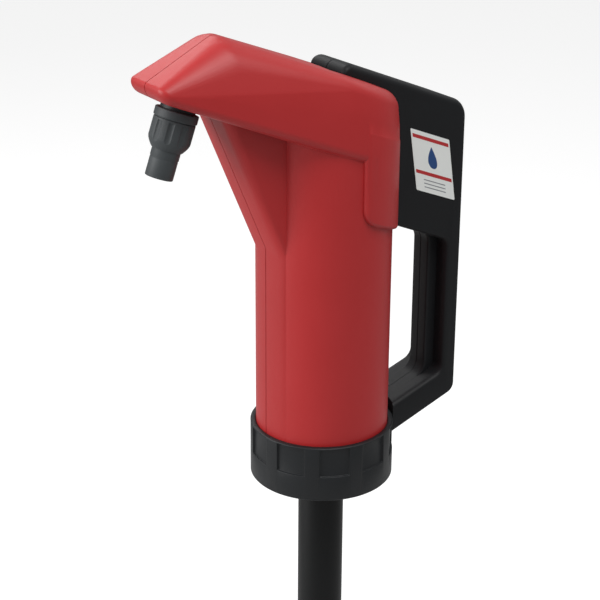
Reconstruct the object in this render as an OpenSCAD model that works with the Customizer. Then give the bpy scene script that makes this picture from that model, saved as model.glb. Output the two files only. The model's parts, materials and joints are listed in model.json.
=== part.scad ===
// Lever-action drum pump: a piston pump that hangs in a drum's 2 inch bung.
// Lifting the handle lowers the piston; pressing it down lifts the liquid to the spout.
// +Z up, spout towards -X, handle towards +X. Origin: centre of the bung seat.

/* [Casing] */
// Height of the collar's rim above the bung seat
rim_z = 215; // [205:1:240]
// Outer radius of the round body
body_r = 47.5; // [46:0.5:52]
// Wall of the casing
case_wall = 3; // [2.5:0.1:3.4]
// How far the hood stands proud of the round body
hood_proud = 3.5; // [3:0.1:5]
// Fall of the hood's top towards the handle, in degrees
hood_fall = 21.8; // [20:0.1:24]
// Height of the hood's top over the body's axis, above the rim
hood_top = 256.4; // [254:0.1:259]
// Thickness of the hood between its top and its underside
hood_thick = 50.4; // [48:0.1:52]
// Reach of the nose from the body's axis
nose_reach = 135.5; // [134:0.5:145]
// Half width of the nose
nose_half = 24.5; // [24:0.5:32]
// Length of the nose's sloping front, seen from above
nose_slope_len = 52.4; // [49:0.1:57]
// Angle of the nose's sloping front, in degrees
nose_angle = 27.7; // [26:0.1:29.5]
// Half width of the gusset under the hood
gusset_half = 19.5; // [17:0.5:22]
// Angle of the gusset's front face above level, in degrees
gusset_angle = 66.7; // [65:0.1:68]
// Height above the rim at which the gusset leaves the body
gusset_foot = 139; // [136:1:141]
// Depth of the strap below the hood's underside, over the body's axis
strap_drop = 40.8; // [37:0.1:45]
// Radius of the case screws' bosses
boss_r = 5.6; // [5:0.1:6.5]

/* [Collar nut] */
// Height of the collar nut
collar_h = 40; // [38:1:46]
// Wall of the collar nut
collar_wall = 3.8; // [3.2:0.1:5]
// Number of grip pockets round the collar nut
collar_pockets = 10; // [8:1:12]
// Depth of the grip pockets
pocket_deep = 1.7; // [1:0.1:2]
// Height of the grip pockets
pocket_h = 21.3; // [16:0.1:26]
// Angle that one grip pocket takes up
pocket_angle = 24; // [18:1:26]

/* [Cylinder and valves] */
// Wall of the pump's inner cylinder
barrel_wall = 3; // [2:0.1:4]
// Height of the inner cylinder's top above the rim
barrel_top = 128; // [118:1:129]
// Radius of the piston rod
rod_r = 6; // [5:0.5:7]
// Thickness of the piston
piston_h = 14; // [12:0.5:18]
// Height above the rim of the piston's underside at the bottom of its stroke
piston_low = -6; // [-6:1:4]
// Thickness of the foot plate's flange
foot_h = 8; // [7:0.5:9]
// Radius of the inlet port in the foot plate
inlet_r = 12; // [9:0.5:14]
// Lift of both valve discs
valve_lift = 3; // [2:0.5:4]
// Thickness of both valve discs
disc_h = 2.5; // [2:0.5:3]

/* [Lever] */
// Distance of the lever's pivot behind the body's axis
pivot_x = 37; // [36:0.5:38]
// Height of the lever's pivot above the rim
pivot_z = 200; // [199:0.5:202]
// Crank radius from pivot to drive pin
crank_r = 44; // [40:0.5:45]
// Radius of the pivot pin
pivot_r = 5; // [4:0.25:6]
// Radius of the drive pin
drive_r = 4; // [3:0.25:5]
// Width of the lever
lever_w = 41; // [39:0.5:43]
// Wall of the lever's shells
lever_wall = 3; // [2.5:0.1:3.5]
// Height of the lever's top above the hood's top
lever_proud = 9.6; // [7:0.1:12]
// Distance of the lever's rear face from the body's axis
lever_back = 106.2; // [104:0.1:116]
// Thickness of the grip from front to rear
grip_thick = 21.2; // [20:0.1:26]
// Width of the label on the lever
label_w = 34.2; // [26:0.1:36]
// Height of the label on the lever
label_h = 45.4; // [36:0.1:50]
// Side clearance of the lever in the hood's slot
slot_gap = 1; // [0.8:0.1:1.5]

/* [Spout] */
// Distance of the nozzle's seat from the body's axis
nozzle_x = 111.6; // [109:0.1:113]
// Lean of the nozzle from upright, in degrees
nozzle_lean = 19.5; // [17:0.5:22]
// Outer radius of the nozzle's hose tail
tail_r = 9.3; // [9:0.1:9.5]
// Length of the hose tail's plain end
tail_len = 13; // [10:0.5:30]
// Bore radius of the outlet duct, the neck and the nozzle
duct_bore_r = 7; // [6:0.1:7.5]
// Outer radius of the outlet duct
duct_r = 10; // [9:0.1:10.5]
// Number of flutes round the nozzle nut
nut_flutes = 10; // [8:1:12]

/* [Suction tube] */
// Outer radius of the fixed tube
tube_r = 16.6; // [16:0.1:18]
// Wall of the fixed tube
tube_wall = 2.4; // [2:0.1:2.6]
// Length of the fixed tube below the collar nut
tube_len = 450; // [400:5:520]
// Outer radius of the telescopic tube
inner_tube_r = 13; // [12.6:0.1:13.4]
// Wall of the telescopic tube
inner_tube_wall = 2.2; // [1.8:0.1:2.6]
// Room above the telescopic tube inside the fixed tube when it is pushed in
top_room = 34; // [24:1:120]
// Height of the strainer
strainer_h = 42; // [36:1:60]
// Number of slots in the strainer
strainer_slots = 6; // [4:1:8]

/* [Bung adapter] */
// Major radius of the bung thread, G2
thread_r = 29.807; // [28:0.001:32]
// Length of the bung thread
thread_len = 24; // [18:1:30]
// Radius of the adapter's flange
flange_r = 37; // [36:0.5:42]
// Height of the adapter's flange
flange_h = 10; // [8:0.5:12]
// Thickness of the sealing washer under the flange
washer_h = 3; // [2:0.5:4]
// Height of the clamping nut
clamp_h = 26; // [24:1:27]

/* [Hidden] */
$fn = 64;

red = [0.72, 0.22, 0.22];
charcoal = [0.14, 0.145, 0.15];
natural = [0.86, 0.86, 0.83];
steel = [0.72, 0.73, 0.75];
rubber = [0.08, 0.08, 0.085];

arc_steps = 6; // segments in each rounded corner of an outline
eps = 0.01; // overrun of a cut
wide = 200; // half size of the blocks that cut the casing in two
slide_gap = 0.05; // radial clearance of a running fit
free_gap = 0.3; // radial clearance between curved faces that never bear
seat_gap = 0.05; // clearance of a piece pushed into its seat
port_gap = 0.6; // spare length at each end of the crosshead's slot

// Casing, in the pump's own heights above the rim
hood_r = body_r + hood_proud;
fall = tan(hood_fall);
under_top = hood_top - hood_thick / cos(hood_fall);
collar_lip = 4;
body_foot = -collar_h + collar_lip + foot_h;
inside_r = body_r - case_wall;
seam_y = 0;
slot_half = lever_w / 2 + slot_gap;

// Cylinder and valves
barrel_gap = 2; // room between the inner cylinder and the casing
barrel_r = inside_r - barrel_gap;
bore_r = barrel_r - barrel_wall;
seal_h = 2;
barrel_foot = body_foot + seal_h;
head_foot = barrel_top + seal_h;
head_h = 10;
head_top = head_foot + head_h;
gland_h = 10;
gland_top = head_top + gland_h;
seat_h = 1.5; // height of the inlet valve's seat
stem_r = 3;
stop_h = 3.5;
disc_foot = body_foot + seat_h;
stroke = 2 * crank_r * sin(45);
pin_x = pivot_x - crank_r * cos(45);
pin_far_x = pivot_x - crank_r;
pin_z = pivot_z + crank_r * sin(45);
piston_foot = piston_low + stroke;
piston_top = piston_foot + piston_h;
piston_nut_h = 6;
shoulder_h = 3;
slot_half_h = drive_r + 0.032 * crank_r + slide_gap; // the couple is linear, the crank is not
yoke_half_h = slot_half_h + 4.5;
yoke_neck = 4;
yoke_t = 15;
outlet_x = -bore_r + 8.5; // the outlet port just inside the bore

// Spout
seat_up = 2.2; // the nozzle's seat above the underside
seat_z = under_top + fall * nozzle_x + seat_up;
elbow_up = 16;
knuckle = 0.4; // how far the balls at the duct's bends stand proud
neck_r = 11.6;
neck_len = 14;
nut_gap = 4.7; // bare neck between the hood and the nut
ring_h = 5.7;
ring_r = neck_r + 2.8;
nut_r = neck_r + 2.3;
nut_body = 14;
nut_cone = 6.2;
tail_step = 5.6;
flange_t = 3;
neck_washer_h = 1.5;
nut_end = nut_gap + ring_h + nut_body + nut_cone;
elbow = [-nozzle_x + elbow_up * sin(nozzle_lean), seat_z + elbow_up * cos(nozzle_lean)];
duct_foot = [outlet_x, head_top + 7];
duct_low = [outlet_x - 5, head_top + 17];
duct_high = [elbow.x + 34.3, elbow.y - 17.1];

// Lever outline, X and height above the rim
lever_top = hood_top + lever_proud;
grip_x = lever_back - grip_thick;
arm_low = 142.9; // underside of the upper arm where it leaves the casing
arm_fall = 0.43;
tip_z = -16.9;
tip_rise = 0.369;
rest_z = 6.3;
rest_rise = 0.36;
tip_x = body_r - 3.5;
lever_half = lever_w / 2;
cheek_y = yoke_t / 2 + 2;
drive_boss_r = drive_r + 5;
hub_r = pivot_r + 6;
bush_r = pivot_r + 2;
collar_r = body_r + free_gap + collar_wall;
collar_foot = -collar_h - 1.3;
tip_clear_r = collar_r + 1.5;
rib_half = 9; // half the grip's middle rib
rib_proud = 8; // how far the rib stands in front of the side walls
head_round = 7;
sweep_r = norm([pivot_x, lever_top - pivot_z]) - head_round * (sqrt(2) - 1);
slot_front = pivot_x - sweep_r * cos(asin((hood_top - pivot_z - 1) / sweep_r)) - 1.5;
slot_low = arm_low - 4.3;
label_t = 0.3;
label_skew = 7.1; // how far the label's top leans towards the spout
label_at = [77.3, lever_top - fall * 77.3 - 52];
screw_r = 1.8;
screw_head_r = 3.4;
screw_head_h = 2.4;

// Suction tube
tube_top = -collar_h + 9;
tube_end = -collar_h - tube_len;
tube_bore_r = tube_r - tube_wall;
nut2_h = 30;
nut2_grip = 20;
guide_h = 12;
inner_tube_end = tube_end - 15;
inner_tube_top = tube_top - top_room;

// Adapter, in heights above the bung seat
neck2_r = tube_r + 9;
neck2_h = 14;
flange_top = washer_h + flange_h;
clamp_top = flange_top + 1 + clamp_h;
cone_h = 6;

function unit(v) = v / norm(v);
function crossed(a, b) = a.x * b.y - a.y * b.x;
function left_of(u) = [-u.y, u.x];
// Point where the line through p along u meets the line through q along v
function meet(p, u, q, v) = p + u * crossed(q - p, v) / crossed(u, v);
// Moves every side of a counter-clockwise outline inwards by d
function inset(pts, d) = let (n = len(pts)) [for (i = [0:n - 1])
    let (a = pts[(i + n - 1) % n], b = pts[i], c = pts[(i + 1) % n], u = unit(b - a), v = unit(c - b))
    meet(b + left_of(u) * d, u, b + left_of(v) * d, v)];
function turn_of(s, e) = let (d = atan2(e.y, e.x) - atan2(s.y, s.x))
    d > 180 ? d - 360 : d < -180 ? d + 360 : d;
// Arc of radius r that rounds the corner a-b-c
function corner(a, b, c, r) = r <= 0 ? [b] : let (
    u = unit(a - b), v = unit(c - b), half = acos(u * v) / 2,
    centre = b + unit(u + v) * r / sin(half),
    s = b + u * r / tan(half) - centre, e = b + v * r / tan(half) - centre,
    from = atan2(s.y, s.x), turn = turn_of(s, e))
    [for (i = [0:arc_steps]) centre + r * [cos(from + turn * i / arc_steps), sin(from + turn * i / arc_steps)]];
function rounded(pts, radii) = let (n = len(pts)) [for (i = [0:n - 1])
    each corner(pts[(i + n - 1) % n], pts[i], pts[(i + 1) % n], radii[i])];
function less(radii, d) = [for (r = radii) max(r - d, 0)];

// Places pieces drawn above the rim
module at_pump() translate([0, 0, rim_z]) children();
// Extrudes an outline drawn in X and Z from y0 to y1
module along_y(y0, y1) translate([0, y1, 0]) rotate([90, 0, 0]) linear_extrude(y1 - y0) children();
module pin_y(at, r, y0, y1) translate([at.x, y1, at.y]) rotate([90, 0, 0]) cylinder(r = r, h = y1 - y0);
module ring(r1, r2, z0, z1) translate([0, 0, z0]) difference() {
    cylinder(r = r2, h = z1 - z0);
    translate([0, 0, -eps]) cylinder(r = r1, h = z1 - z0 + 2 * eps);
}
module half_space(side) translate([-wide, side < 0 ? -2 * wide : 0, -2 * wide])
    cube([2 * wide, 2 * wide, 4 * wide]);

// Casing ------------------------------------------------------------------
strap_low = under_top - strap_drop;
strap_x = -1;
nose_top = [-(nose_reach + 3.5 - nose_slope_len), hood_top + fall * (nose_reach + 3.5 - nose_slope_len)];
function hood_side() = let (tip = meet(nose_top, [cos(nose_angle), sin(nose_angle)], [0, under_top], [1, -fall]))
    [tip, [strap_x, under_top - fall * strap_x], [strap_x, strap_low - fall * strap_x],
     [hood_r + 10, strap_low - fall * (hood_r + 10)], [hood_r + 10, hood_top - fall * (hood_r + 10)], nose_top];
hood_side_r = [6, 5, 9, 0, 0, 12];
function tangent_at(r) = let (d = norm([nose_reach, nose_half]), a = 180 - atan(nose_half / nose_reach) - acos(r / d))
    r * [cos(a), sin(a)];
function nose_plan(d) = let (t = tangent_at(hood_r), td = t * (hood_r - d) / hood_r,
    c = meet([-nose_reach + d, 0], [0, 1], td, unit([-nose_reach, nose_half] - t)))
    [[c.x, -c.y], [td.x, -td.y], td, c];

module hood_form(d) intersection() {
    along_y(-wide / 2, wide / 2) polygon(rounded(inset(hood_side(), d), less(hood_side_r, d)));
    linear_extrude(2 * wide) {
        circle(r = hood_r - d);
        polygon(rounded(nose_plan(d), less([8, 0, 0, 8], d)));
    }
}
module gusset_form(d) intersection() {
    translate([-body_r, 0, gusset_foot]) rotate([0, gusset_angle - 90, 0]) translate([0, 0, -20])
        linear_extrude(wide) polygon(rounded(
            [[d, d - gusset_half], [60, d - gusset_half], [60, gusset_half - d], [d, gusset_half - d]],
            less([7, 0, 0, 7], d)));
    along_y(-wide / 2, wide / 2) polygon([[0, 60], [0, under_top + 15],
        [-nose_reach, under_top + 15 + fall * nose_reach], [-nose_reach, 60]]);
}
// Round column whose top slopes with the hood, up lies above the hood's underside
module column(r, foot, up) intersection() {
    translate([0, 0, foot]) cylinder(r = r, h = wide * 2);
    along_y(-wide / 2, wide / 2) polygon([[-wide / 2, foot - 1], [wide / 2, foot - 1],
        [wide / 2, under_top + up - fall * wide / 2], [-wide / 2, under_top + up + fall * wide / 2]]);
}
module case_outside() {
    column(body_r, body_foot, 14);
    hood_form(0);
    gusset_form(0);
}
module case_inside() {
    column(inside_r, body_foot - eps, 18);
    hood_form(case_wall);
    gusset_form(case_wall);
}
function case_screws() = [[-78 * nose_reach / 135.5, hood_top + fall * 78 - 10], [-40, hood_top + fall * 40 - 20.8]];
screw_seat = 24; // the screws' heads lie this far beyond the seam
screw_reach = 14;

module screw(at, seat, reach) {
    pin_y(at, screw_r, -reach, seat);
    pin_y(at, screw_head_r, seat, seat + screw_head_h);
}
// Ribs, ledges and bosses inside both halves
module case_fittings(side) intersection() {
    case_outside();
    union() {
        for (z = [20, barrel_top - 34]) ring(barrel_r + free_gap, inside_r + 1, z, z + 3);
        ring(barrel_r - 4, inside_r + 1, head_top + 0.1, head_top + 3.1);
        for (p = case_screws()) pin_y(p, boss_r, side < 0 ? -wide / 3 : 0, side < 0 ? 0 : wide / 3);
        pin_y([pivot_x, pivot_z], pivot_r + 4.5, side < 0 ? -wide / 3 : slot_half, side < 0 ? -slot_half : wide / 3);
    }
}
module case_half(side) intersection() {
    half_space(side);
    difference() {
        union() {
            difference() {
                case_outside();
                case_inside();
            }
            case_fittings(side);
        }
        along_y(-slot_half, slot_half) polygon([[slot_front, 2 * wide], [slot_front, pivot_z],
            [25, pivot_z], [25, slot_low], [wide, slot_low], [wide, 2 * wide]]);
        pin_y([pivot_x, pivot_z], pivot_r + seat_gap, -pivot_pin_half - seat_gap, pivot_pin_half + seat_gap);
        at_nozzle() translate([0, 0, -10]) cylinder(r = neck_r + free_gap, h = 30);
        translate([outlet_x, 0, head_foot]) cylinder(r = duct_r + 3 + free_gap, h = 16);
        for (p = case_screws()) {
            pin_y(p, side < 0 ? screw_r + seat_gap : screw_r + free_gap, -screw_reach - 1, screw_seat + 1);
            pin_y(p, screw_head_r + 0.4, screw_seat, wide / 2);
        }
    }
}
pivot_pin_half = slot_half + 5;
module casing_left() color(red) at_pump() case_half(-1);
module casing_right() color(red) at_pump() case_half(1);
module casing_screws() color(steel) at_pump() for (p = case_screws()) screw(p, screw_seat, screw_reach);

module collar_nut() color(charcoal) at_pump() difference() {
    union() {
        translate([0, 0, collar_foot + 1.2]) cylinder(r = collar_r, h = -collar_foot - 1.8);
        translate([0, 0, collar_foot]) cylinder(r1 = collar_r - 1, r2 = collar_r, h = 1.2);
        translate([0, 0, -0.6]) cylinder(r1 = collar_r, r2 = collar_r - 0.6, h = 0.6);
    }
    translate([0, 0, -collar_h + collar_lip]) cylinder(r = body_r + free_gap, h = collar_h);
    translate([0, 0, collar_foot - eps]) cylinder(r = body_r - 11, h = collar_h);
    for (i = [0:collar_pockets - 1]) rotate([0, 0, -5.3 - i * 360 / collar_pockets - pocket_angle / 2])
        rotate_extrude(angle = pocket_angle) translate([collar_r - pocket_deep, -1 - pocket_h])
            square([pocket_deep + 2, pocket_h]);
}

// Foot, inner cylinder and head -------------------------------------------
hub_foot = -collar_h - 4;
module foot_plate() color(charcoal) at_pump() {
    difference() {
        union() {
            translate([0, 0, body_foot - foot_h]) cylinder(r = body_r - free_gap, h = foot_h);
            translate([0, 0, hub_foot]) cylinder(r = tube_r + 5.4, h = body_foot - foot_h - hub_foot + eps);
            ring(inlet_r, inlet_r + 3, body_foot - eps, disc_foot);
        }
        translate([0, 0, hub_foot - eps]) cylinder(r = tube_r + seat_gap, h = tube_top - hub_foot + eps);
        translate([0, 0, tube_top - 1]) cylinder(r = inlet_r, h = foot_h + 20);
    }
    translate([-inlet_r - 1, -2, disc_foot - 4]) cube([2 * inlet_r + 2, 4, 4]);
    translate([0, 0, disc_foot - 4]) cylinder(r = stem_r, h = 4 + disc_h + valve_lift + stop_h + 1);
}
module foot_valve_stop() color(steel) at_pump()
    ring(stem_r + seat_gap, stem_r + 4, disc_foot + disc_h + valve_lift, disc_foot + disc_h + valve_lift + stop_h);
module foot_valve_disc() color(rubber) at_pump()
    ring(stem_r + free_gap, inlet_r + 5, disc_foot, disc_foot + disc_h);
module foot_seal() color(rubber) at_pump() ring(bore_r, barrel_r, body_foot, barrel_foot);
module pump_barrel() color(natural) at_pump() ring(bore_r, barrel_r, barrel_foot, barrel_top);
module head_seal() color(rubber) at_pump() ring(bore_r, barrel_r, barrel_top, head_foot);

module barrel_head() color(natural) at_pump() difference() {
    union() {
        translate([0, 0, head_foot]) cylinder(r = inside_r - free_gap, h = head_h);
        translate([0, 0, head_foot - 6]) cylinder(r = bore_r - free_gap, h = 6 + eps);
        translate([0, 0, head_top - eps]) cylinder(r = rod_r + 6, h = 3);
        translate([outlet_x, 0, head_top - eps]) cylinder(r = duct_r + 2, h = 3);
    }
    translate([0, 0, head_foot - 10]) cylinder(r = rod_r + slide_gap, h = 40);
    translate([0, 0, head_top - 3]) cylinder(r = rod_r + 3.5, h = 20);
    translate([outlet_x, 0, head_foot - 10]) cylinder(r = duct_bore_r, h = 40);
    translate([outlet_x, 0, head_top - 5]) cylinder(r = duct_r + seat_gap, h = 20);
}
module rod_seal() color(rubber) at_pump() ring(rod_r + slide_gap, rod_r + 3.4, head_top - 3, head_top + 1);
module gland_nut() color(steel) at_pump() {
    ring(rod_r + slide_gap, rod_r + 3.4, head_top + 1, head_top + 3);
    difference() {
        ring(rod_r + slide_gap, rod_r + 7, head_top + 3, gland_top);
        for (a = [0:60:300]) rotate([0, 0, a]) translate([rod_r + 5.5, -10, head_top + 4]) cube([5, 20, 20]);
    }
}

// Outlet and nozzle -------------------------------------------------------
module at_nozzle() translate([-nozzle_x, 0, seat_z]) rotate([0, 180 + nozzle_lean, 0]) children();
module rod_between(a, b, r) translate([a.x, 0, a.y])
    rotate([0, atan2(b.x - a.x, b.y - a.y), 0]) cylinder(r = r, h = norm(b - a));
module duct_form(r) {
    translate([outlet_x, 0, head_top - 5 + seal_h]) cylinder(r = r, h = 12 - seal_h);
    translate([duct_foot.x, 0, duct_foot.y]) sphere(r = r + knuckle);
    rod_between(duct_foot, duct_low, r);
    translate([duct_low.x, 0, duct_low.y]) sphere(r = r + knuckle);
    rod_between(duct_low, duct_high, r);
    translate([duct_high.x, 0, duct_high.y]) sphere(r = r + knuckle);
    rod_between(duct_high, elbow, r);
    translate([elbow.x, 0, elbow.y]) sphere(r = r + knuckle);
    at_nozzle() translate([0, 0, -elbow_up]) cylinder(r = r, h = elbow_up);
}
module outlet_duct() color(charcoal) at_pump() difference() {
    union() {
        difference() {
            duct_form(duct_r);
            translate([outlet_x, 0, head_top - 5 + seal_h - 20]) cylinder(r = 20, h = 20);
        }
        at_nozzle() translate([0, 0, -3]) cylinder(r = neck_r, h = neck_len + 3);
    }
    duct_form(duct_bore_r);
    translate([outlet_x, 0, head_top - 15]) cylinder(r = duct_bore_r, h = 18);
    at_nozzle() translate([0, 0, -2]) cylinder(r = duct_bore_r, h = neck_len + 4);
}
module duct_seal() color(rubber) at_pump() translate([outlet_x, 0, 0])
    ring(duct_bore_r, duct_r, head_top - 5, head_top - 5 + seal_h);
module nozzle_washer() color(rubber) at_pump() at_nozzle()
    ring(duct_bore_r, neck_r - 0.2, neck_len, neck_len + neck_washer_h);
tail_top = neck_len + neck_washer_h;
module nozzle_tail() color(charcoal) at_pump() at_nozzle() difference() {
    union() {
        translate([0, 0, tail_top]) cylinder(r = neck_r, h = flange_t);
        translate([0, 0, tail_top + 1]) cylinder(r = tail_r + 0.2, h = nut_end + tail_step - tail_top - 1);
        translate([0, 0, nut_end]) cylinder(r = tail_r, h = tail_step + tail_len);
    }
    translate([0, 0, tail_top - eps]) cylinder(r = duct_bore_r, h = nut_end + tail_step + tail_len);
}
module nozzle_nut() color(charcoal) at_pump() at_nozzle() difference() {
    union() {
        translate([0, 0, nut_gap]) cylinder(r = ring_r, h = ring_h);
        translate([0, 0, nut_gap + ring_h - eps]) cylinder(r = nut_r, h = nut_body + eps);
        translate([0, 0, nut_end - nut_cone]) cylinder(r1 = nut_r, r2 = tail_r + 0.7, h = nut_cone);
    }
    translate([0, 0, nut_gap - eps]) cylinder(r = neck_r + seat_gap, h = tail_top + flange_t - nut_gap + eps);
    translate([0, 0, nut_gap]) cylinder(r = tail_r + 0.2 + seat_gap, h = nut_end);
    for (i = [0:nut_flutes - 1]) rotate([0, 0, i * 360 / nut_flutes])
        translate([nut_r + 1.6, 0, nut_gap + ring_h + 1.5]) cylinder(r = 2.4, h = 40);
}

// Piston and its rod ------------------------------------------------------
module piston_rod() color(steel) at_pump() {
    translate([0, 0, piston_foot - piston_nut_h - 1]) cylinder(r = rod_r - 1, h = piston_h + piston_nut_h + 1 + eps);
    translate([0, 0, piston_top]) cylinder(r = rod_r, h = pin_z - slot_half_h - 1 - piston_top);
    translate([0, 0, piston_top + disc_h + valve_lift]) cylinder(r = rod_r + 7, h = shoulder_h);
}
module piston() color(natural) at_pump() difference() {
    translate([0, 0, piston_foot]) cylinder(r = bore_r - free_gap, h = piston_h);
    translate([0, 0, piston_foot - eps]) cylinder(r = rod_r - 1 + seat_gap, h = piston_h + 2 * eps);
    for (a = [0:60:300]) rotate([0, 0, a]) translate([rod_r + 12, 0, piston_foot - eps])
        cylinder(r = 5, h = piston_h + 2 * eps);
    ring(bore_r - 4, bore_r + 1, piston_foot + piston_h / 2 - 3, piston_foot + piston_h / 2 + 3);
}
module piston_seal() color(rubber) at_pump()
    ring(bore_r - 4 + seat_gap, bore_r - slide_gap, piston_foot + piston_h / 2 - 3, piston_foot + piston_h / 2 + 3);
module piston_valve_disc() color(rubber) at_pump()
    ring(rod_r + free_gap, rod_r + 20, piston_top, piston_top + disc_h);
module piston_nut() color(steel) at_pump() translate([0, 0, piston_foot - piston_nut_h]) difference() {
    cylinder(r = 9.5, h = piston_nut_h, $fn = 6);
    translate([0, 0, -eps]) cylinder(r = rod_r - 1 + seat_gap, h = piston_nut_h + 2 * eps);
}
module crosshead() color(steel) at_pump() difference() {
    union() {
        along_y(-yoke_t / 2, yoke_t / 2) polygon(rounded(
            [[pin_far_x - drive_r - port_gap - 3.5, pin_z - yoke_half_h], [pin_x + drive_r + port_gap + 3.5, pin_z - yoke_half_h],
             [pin_x + drive_r + port_gap + 3.5, pin_z + yoke_half_h], [pin_far_x - drive_r - port_gap - 3.5, pin_z + yoke_half_h]],
            [4, 4, 4, 4]));
        translate([0, 0, pin_z - yoke_half_h - yoke_neck]) cylinder(r = rod_r + 1.5, h = yoke_neck + 1);
    }
    translate([0, 0, pin_z - yoke_half_h - yoke_neck - eps]) cylinder(r = rod_r + seat_gap, h = yoke_neck + yoke_half_h - slot_half_h - 0.9);
    along_y(-yoke_t, yoke_t) polygon([[pin_far_x - port_gap, pin_z - slot_half_h], [pin_x + port_gap, pin_z - slot_half_h],
        [pin_x + port_gap, pin_z + slot_half_h], [pin_far_x - port_gap, pin_z + slot_half_h]]);
    for (x = [pin_far_x - port_gap, pin_x + port_gap]) pin_y([x, pin_z], slot_half_h, -yoke_t, yoke_t);
}

// Lever -------------------------------------------------------------------
function arm_z(x) = arm_low - arm_fall * (x - 48.3);
function tip_under(x) = tip_z + tip_rise * (x - 50.4);
function rest_top(x) = rest_z + rest_rise * (x - 50.7);
function lever_side() = [[tip_x, tip_under(tip_x)], [lever_back, tip_under(lever_back)],
    [lever_back, lever_top - fall * lever_back], [0, lever_top], [0, pin_z + drive_boss_r + 2],
    [pin_x - drive_boss_r - 0.5, pin_z + drive_boss_r / 2], [pin_x - drive_boss_r - 0.5, pin_z - drive_boss_r],
    [14, pivot_z - 4], [26, pivot_z - 35], [tip_x, arm_z(tip_x)], [grip_x, arm_z(grip_x)],
    [grip_x, rest_top(grip_x)], [tip_x, rest_top(tip_x)]];
lever_side_r = [0, 9, 15, head_round, 0, 3, 3, 6, 8, 3, 10, 12, 1];
function shoulder_side() = [[grip_x - 12, arm_z(grip_x - 12)], [grip_x + rib_proud, arm_z(grip_x + rib_proud)],
    [grip_x + rib_proud, rest_top(grip_x + rib_proud)], [grip_x - 12, rest_top(grip_x - 12)]];
function lever_screw_at() = [[70, lever_top - fall * 70 - 16], [62, 160], [lever_back - 8.5, 108],
    [lever_back - 8.5, 28], [64, (tip_under(64) + rest_top(64)) / 2]];
module lever_half_form(side) {
    y0 = side < 0 ? -lever_half : 0;
    in0 = side < 0 ? -lever_half + lever_wall : -eps;
    in1 = side < 0 ? eps : lever_half - lever_wall;
    difference() {
        union() {
            difference() {
                along_y(y0, y0 + lever_half) polygon(rounded(lever_side(), lever_side_r));
                along_y(in0, in1) polygon(inset(lever_side(), lever_wall));
            }
            intersection() {
                along_y(y0, y0 + lever_half) polygon(rounded(lever_side(), lever_side_r));
                union() {
                    translate([grip_x, y0, rest_top(grip_x) - lever_wall])
                        cube([rib_proud + lever_wall, lever_half, arm_z(grip_x) - rest_top(grip_x) + 2 * lever_wall]);
                    pin_y([pivot_x, pivot_z], hub_r, y0, y0 + lever_half);
                    for (p = lever_screw_at()) pin_y(p, 4.5, y0, y0 + lever_half);
                    pin_y([pin_x, pin_z], drive_boss_r, side < 0 ? y0 : cheek_y, side < 0 ? -cheek_y : lever_half);
                }
            }
        }
        along_y(-cheek_y, cheek_y) polygon([[-30, lever_top - 13], [-30, 150], [24, 150], [24, lever_top - 14.2]]);
        pin_y([pivot_x, pivot_z], bush_r + seat_gap, -wide / 2, wide / 2);
        pin_y([pin_x, pin_z], drive_r + seat_gap, lever_wall - lever_half, lever_half - lever_wall);
        translate([0, 0, -60]) cylinder(r = tip_clear_r, h = 120);
        along_y(side < 0 ? -wide / 2 : rib_half, side < 0 ? -rib_half : wide / 2)
            polygon(rounded(shoulder_side(), [0, 8, 8, 0]));
        for (p = lever_screw_at()) {
            pin_y(p, side < 0 ? screw_r + seat_gap : screw_r + free_gap, -screw_reach - 1, lever_half - 3.5);
            pin_y(p, screw_head_r + 0.4, lever_half - 4, wide / 2);
        }
    }
}
module lever_left() color(charcoal) at_pump() lever_half_form(-1);
module lever_right() color(charcoal) at_pump() lever_half_form(1);
module lever_screws() color(steel) at_pump() for (p = lever_screw_at()) screw(p, lever_half - 4, screw_reach);
module lever_label() color("white") at_pump() along_y(-lever_half - label_t, -lever_half)
    polygon([for (p = [[-1, -1], [1, -1], [1, 1], [-1, 1]])
        label_at + [p.x * label_w - p.y * label_skew, p.y * label_h - p.x * label_w * fall] / 2]);
module pivot_pin() color(steel) at_pump() pin_y([pivot_x, pivot_z], pivot_r, -pivot_pin_half, pivot_pin_half);
module pivot_bush() color(natural) at_pump() difference() {
    pin_y([pivot_x, pivot_z], bush_r, -lever_half, lever_half);
    pin_y([pivot_x, pivot_z], pivot_r + slide_gap, -lever_half - eps, lever_half + eps);
}
module drive_pin() color(steel) at_pump()
    pin_y([pin_x, pin_z], drive_r, lever_wall - lever_half, lever_half - lever_wall);

// Suction tube ------------------------------------------------------------
module suction_tube() color(charcoal) at_pump() ring(tube_bore_r, tube_r, tube_end, tube_top);
module telescope_nut() color(charcoal) at_pump() difference() {
    union() {
        translate([0, 0, tube_end - nut2_h + nut2_grip]) cylinder(r = tube_r + 5, h = nut2_h);
        translate([0, 0, tube_end - nut2_h + nut2_grip - 2]) cylinder(r1 = tube_r + 3, r2 = tube_r + 5, h = 2);
    }
    translate([0, 0, tube_end - 6]) cylinder(r = tube_r + seat_gap, h = 60);
    translate([0, 0, tube_end - 60]) cylinder(r = inner_tube_r + free_gap, h = 100);
    for (i = [0:11]) rotate([0, 0, i * 30]) translate([tube_r + 6.6, 0, tube_end - 9]) cylinder(r = 2.6, h = 26);
}
module telescope_seal() color(rubber) at_pump() ring(inner_tube_r + slide_gap, tube_r - 0.2, tube_end - 6, tube_end);
module telescope_tube() color(charcoal) at_pump()
    ring(inner_tube_r - inner_tube_wall, inner_tube_r, inner_tube_end, inner_tube_top);
module telescope_guide() color(natural) at_pump()
    ring(inner_tube_r + seat_gap, tube_bore_r - slide_gap, inner_tube_top - guide_h, inner_tube_top);
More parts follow.
